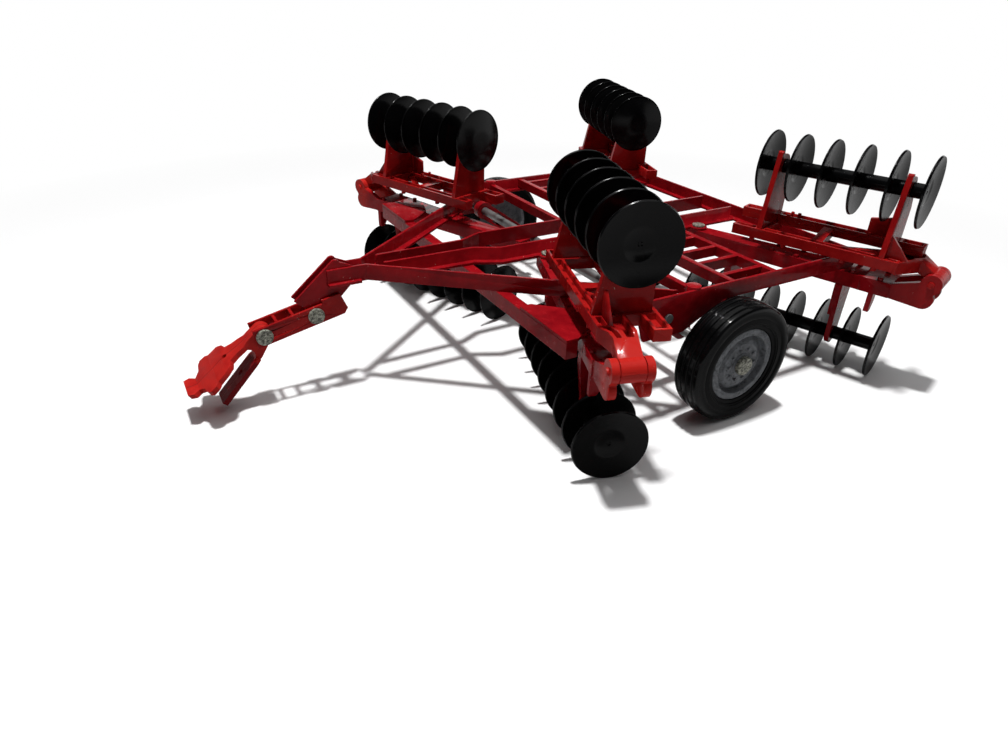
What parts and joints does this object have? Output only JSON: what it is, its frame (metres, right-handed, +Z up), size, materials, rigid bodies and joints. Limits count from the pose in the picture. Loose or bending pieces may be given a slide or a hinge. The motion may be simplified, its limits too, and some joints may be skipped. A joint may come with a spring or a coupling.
{
  "type": "toy disc harrow model",
  "caption": "Towed tandem disc harrow model in painted metal, wings folded over the middle gangs, with lift wheels, turning disc gangs and a jointed hitch.",
  "frame": {"origin": "middle of the model's footprint, on the floor", "axes": "+Z up, the hitch points along -Y, the machine's left is +X"},
  "size_m": [0.2718, 0.3216, 0.11],
  "materials": {
    "red_paint": "gloss",
    "orange_red_plastic": "satin",
    "black_plastic": "satin",
    "grey_plastic": "satin",
    "tyre": "satin",
    "steel": "brushed"
  },
  "bodies": {
    "frame": {"diagonal_left": "red_paint", "diagonal_right": "red_paint", "centre_rail_left": "red_paint", "centre_rail_right": "red_paint", "side_rail_left": "red_paint", "side_rail_right": "red_paint", "ladder_left": "red_paint", "ladder_right": "red_paint", "front_cross_bar": "red_paint", "front_gussets": "red_paint", "rear_cross_bar": "red_paint", "nose_plates": "red_paint", "gang_beam_front_left": "red_paint", "hinge_pin_front_left": "steel", "gang_hangers_front_left": "red_paint", "gang_beam_front_right": "red_paint", "hinge_pin_front_right": "steel", "gang_hangers_front_right": "red_paint", "gang_beam_rear_left": "red_paint", "hinge_pin_rear_left": "steel", "gang_hangers_rear_left": "red_paint", "gang_beam_rear_right": "red_paint", "hinge_pin_rear_right": "steel", "gang_hangers_rear_right": "red_paint", "beam_rivets": "steel", "lift_shaft": "steel"},
    "lift": {"lift_arm_left": "red_paint", "lift_arm_right": "red_paint", "lift_cross_tube": "steel"},
    "wheel_left": {"tyre_left": "tyre", "rim_left": "grey_plastic"},
    "wheel_right": {"tyre_right": "tyre", "rim_right": "grey_plastic"},
    "tongue": {"tongue_link": "red_paint", "tongue_rivets": "steel"},
    "hitch": {"hitch": "orange_red_plastic"},
    "gang_front_left": {"disc_gang_front_left": "black_plastic"},
    "wing_front_left": {"wing_frame_front_left": "red_paint", "wing_hangers_front_left": "red_paint"},
    "wing_gang_front_left": {"wing_gang_front_left": "black_plastic"},
    "gang_front_right": {"disc_gang_front_right": "black_plastic"},
    "wing_front_right": {"wing_frame_front_right": "red_paint", "wing_hangers_front_right": "red_paint"},
    "wing_gang_front_right": {"wing_gang_front_right": "black_plastic"},
    "gang_rear_left": {"disc_gang_rear_left": "black_plastic"},
    "wing_rear_left": {"wing_frame_rear_left": "red_paint", "wing_hangers_rear_left": "red_paint"},
    "wing_gang_rear_left": {"wing_gang_rear_left": "black_plastic"},
    "gang_rear_right": {"disc_gang_rear_right": "black_plastic"},
    "wing_rear_right": {"wing_frame_rear_right": "red_paint", "wing_hangers_rear_right": "red_paint"},
    "wing_gang_rear_right": {"wing_gang_rear_right": "black_plastic"}
  },
  "joints": [
    {"name": "lift_pivot", "type": "hinge", "parent": "frame", "child": "lift", "pos_m": [0, 0.02271, 0.0484], "axis": [1, 0, 0], "range_deg": [-35, 12]},
    {"name": "wheel_left_spin", "type": "hinge", "parent": "lift", "child": "wheel_left", "pos_m": [0.1063, 0.05221, 0.0278], "axis": [1, 0, 0], "continuous": true},
    {"name": "wheel_right_spin", "type": "hinge", "parent": "lift", "child": "wheel_right", "pos_m": [-0.1063, 0.05221, 0.0278], "axis": [1, 0, 0], "continuous": true},
    {"name": "gang_front_left_spin", "type": "hinge", "parent": "frame", "child": "gang_front_left", "pos_m": [0.1201, -0.02363, 0.01575], "axis": [0.9455, -0.3256, 0], "continuous": true},
    {"name": "wing_front_left_fold", "type": "hinge", "parent": "frame", "child": "wing_front_left", "pos_m": [0.12899, -0.02669, 0.055], "axis": [0.3256, 0.9455, 0], "range_deg": [0, 180]},
    {"name": "wing_gang_front_left_spin", "type": "hinge", "parent": "wing_front_left", "child": "wing_gang_front_left", "pos_m": [0.11549, -0.01676, 0.09425], "axis": [0.9455, -0.3256, 0], "continuous": true},
    {"name": "gang_front_right_spin", "type": "hinge", "parent": "frame", "child": "gang_front_right", "pos_m": [-0.1201, -0.02363, 0.01575], "axis": [-0.9455, -0.3256, 0], "continuous": true},
    {"name": "wing_front_right_fold", "type": "hinge", "parent": "frame", "child": "wing_front_right", "pos_m": [-0.12899, -0.02669, 0.055], "axis": [0.3256, -0.9455, 0], "range_deg": [0, 180]},
    {"name": "wing_gang_front_right_spin", "type": "hinge", "parent": "wing_front_right", "child": "wing_gang_front_right", "pos_m": [-0.11549, -0.01676, 0.09425], "axis": [-0.9455, -0.3256, 0], "continuous": true},
    {"name": "gang_rear_left_spin", "type": "hinge", "parent": "frame", "child": "gang_rear_left", "pos_m": [0.115, 0.1458, 0.01575], "axis": [0.9455, 0.3256, 0], "continuous": true},
    {"name": "wing_rear_left_fold", "type": "hinge", "parent": "frame", "child": "wing_rear_left", "pos_m": [0.12899, 0.15062, 0.055], "axis": [-0.3256, 0.9455, 0], "range_deg": [0, 180]},
    {"name": "wing_gang_rear_left_spin", "type": "hinge", "parent": "wing_rear_left", "child": "wing_gang_rear_left", "pos_m": [0.11936, 0.13926, 0.09425], "axis": [0.9455, 0.3256, 0], "continuous": true},
    {"name": "gang_rear_right_spin", "type": "hinge", "parent": "frame", "child": "gang_rear_right", "pos_m": [-0.115, 0.1458, 0.01575], "axis": [-0.9455, 0.3256, 0], "continuous": true},
    {"name": "wing_rear_right_fold", "type": "hinge", "parent": "frame", "child": "wing_rear_right", "pos_m": [-0.12899, 0.15062, 0.055], "axis": [-0.3256, -0.9455, 0], "range_deg": [0, 180]},
    {"name": "wing_gang_rear_right_spin", "type": "hinge", "parent": "wing_rear_right", "child": "wing_gang_rear_right", "pos_m": [-0.11936, 0.13926, 0.09425], "axis": [-0.9455, 0.3256, 0], "continuous": true},
    {"name": "tongue_pivot", "type": "hinge", "parent": "frame", "child": "tongue", "pos_m": [0, -0.10229, 0.0388], "axis": [1, 0, 0], "range_deg": [-20, 15]},
    {"name": "hitch_pivot", "type": "hinge", "parent": "tongue", "child": "hitch", "pos_m": [0, -0.12559, 0.0337], "axis": [1, 0, 0], "range_deg": [-25, 25]}
  ]
}
